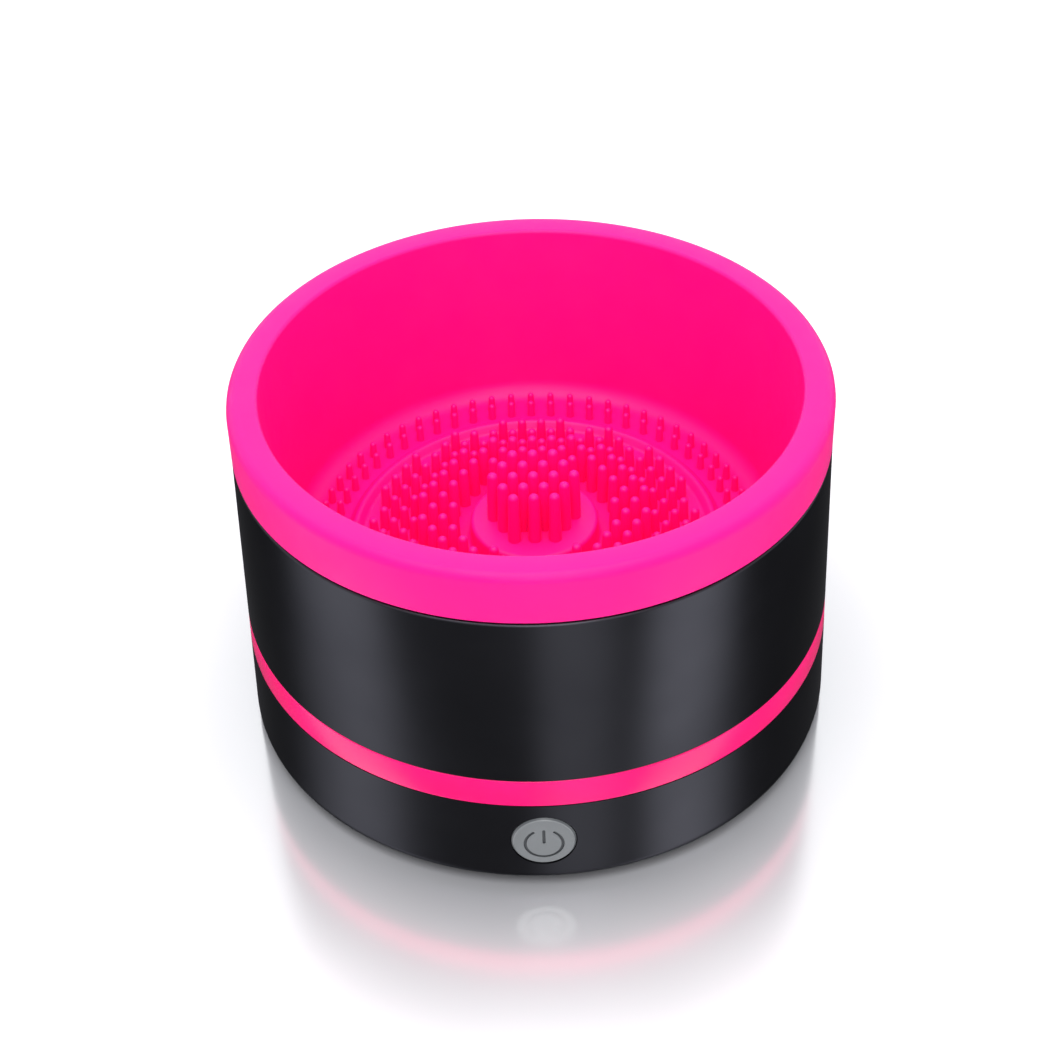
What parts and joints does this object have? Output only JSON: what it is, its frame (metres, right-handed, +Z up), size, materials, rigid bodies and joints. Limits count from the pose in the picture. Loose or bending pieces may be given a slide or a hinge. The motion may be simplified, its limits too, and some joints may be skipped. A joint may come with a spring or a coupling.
{
  "type": "electric brush cleaner",
  "caption": "Round bench-top cleaner for make-up brushes: a lift-off silicone bowl with inner bristles, spun by a geared motor in a black housing with a pink ring and a front button.",
  "frame": {"origin": "on the table, under the axis of the bowl", "axes": "+Z up along the bowl axis; the power button faces -Y and the charging port +Y"},
  "size_m": [0.1208, 0.1208, 0.0785],
  "materials": {
    "pink_silicone": "satin",
    "pink_plastic": "gloss",
    "black_shell": "satin",
    "button_grey": "satin",
    "white_acetal": "smooth moulded",
    "grey_nylon": "smooth moulded",
    "black_rubber": "matte",
    "seal_rubber": "matte",
    "steel": "turned",
    "zinc_screw": "plated",
    "bronze": "sintered",
    "copper_wire": "enamelled",
    "laminated_steel": "stacked",
    "ferrite": "sintered",
    "carbon": "matte",
    "board_green": "solder mask",
    "chip_black": "moulded",
    "white_nylon": "moulded",
    "cell_wrap": "shrink film",
    "nickel": "strip",
    "red_insulation": "extruded",
    "black_insulation": "extruded"
  },
  "bodies": {
    "housing": {"lower_bush": "bronze", "upper_bush": "bronze", "spindle_seal": "seal_rubber", "idler_axle": "steel", "gearbox_plate": "grey_nylon", "plate_screws": "zinc_screw", "motor_screws": "zinc_screw", "case_screws": "zinc_screw", "motor_can": "steel", "motor_end_cap": "grey_nylon", "motor_bushes": "bronze", "motor_magnets": "ferrite", "motor_brushes": "carbon", "motor_terminals": "nickel", "inner_tub": "black_shell", "upper_sleeve": "black_shell", "accent_ring": "pink_plastic", "base_shell": "black_shell", "feet": "black_rubber", "tact_switch": "chip_black", "switch_board": "board_green", "main_board": "board_green", "board_screws": "zinc_screw", "charging_port": "nickel", "control_chip": "chip_black", "charge_coil": "ferrite", "lead_sockets": "white_nylon", "cell": "cell_wrap", "cell_tabs": "nickel", "cell_cradle": "grey_nylon", "motor_lead_black": "black_insulation", "motor_lead_red": "red_insulation", "switch_leads": "black_insulation", "cell_lead_red": "red_insulation", "cell_lead_black": "black_insulation"},
    "turntable": {"turntable": "white_acetal", "turntable_screw": "zinc_screw", "output_spindle": "steel", "output_gear": "white_acetal", "spindle_clip": "zinc_screw"},
    "bowl": {"silicone_bowl": "pink_silicone", "drive_socket": "grey_nylon", "long_bristles": "pink_silicone", "medium_bristles": "pink_silicone", "short_bristles": "pink_silicone", "edge_pins": "pink_silicone"},
    "idler": {"idler_gear": "white_acetal"},
    "rotor": {"motor_shaft": "steel", "motor_pinion": "bronze", "motor_armature": "laminated_steel", "motor_windings": "copper_wire", "motor_commutator": "copper_wire"},
    "button": {"power_button": "button_grey"},
    "plunger": {"switch_plunger": "white_nylon"},
    "plug": {"port_plug": "black_rubber"}
  },
  "joints": [
    {"name": "turntable_spin", "type": "hinge", "parent": "housing", "child": "turntable", "pos_m": [0, 0, 0.034], "axis": [0, 0, 1], "continuous": true},
    {"name": "bowl_lift", "type": "slide", "parent": "turntable", "child": "bowl", "axis": [0, 0, 1], "range_m": [0, 0.05]},
    {"name": "idler_spin", "type": "hinge", "parent": "housing", "child": "idler", "pos_m": [-0.02122, 0.01225, 0.024], "axis": [0, 0, 1], "continuous": true},
    {"name": "motor_spin", "type": "hinge", "parent": "housing", "child": "rotor", "pos_m": [-0.02505, -0.00697, 0.0117], "axis": [0, 0, 1], "continuous": true},
    {"name": "button_press", "type": "slide", "parent": "housing", "child": "button", "axis": [0, 1, 0], "range_m": [0, 0.0005], "stiffness_N_per_m": 600},
    {"name": "plunger_press", "type": "slide", "parent": "housing", "child": "plunger", "axis": [0, 1, 0], "range_m": [0, 0.0005]},
    {"name": "plug_pull", "type": "slide", "parent": "housing", "child": "plug", "axis": [0, 1, 0], "range_m": [0, 0.01]}
  ],
  "couplings": [
    {"joint": "idler_spin", "follows": "turntable_spin", "ratio": -4},
    {"joint": "motor_spin", "follows": "turntable_spin", "ratio": 12},
    {"joint": "plunger_press", "follows": "button_press", "ratio": 1}
  ]
}
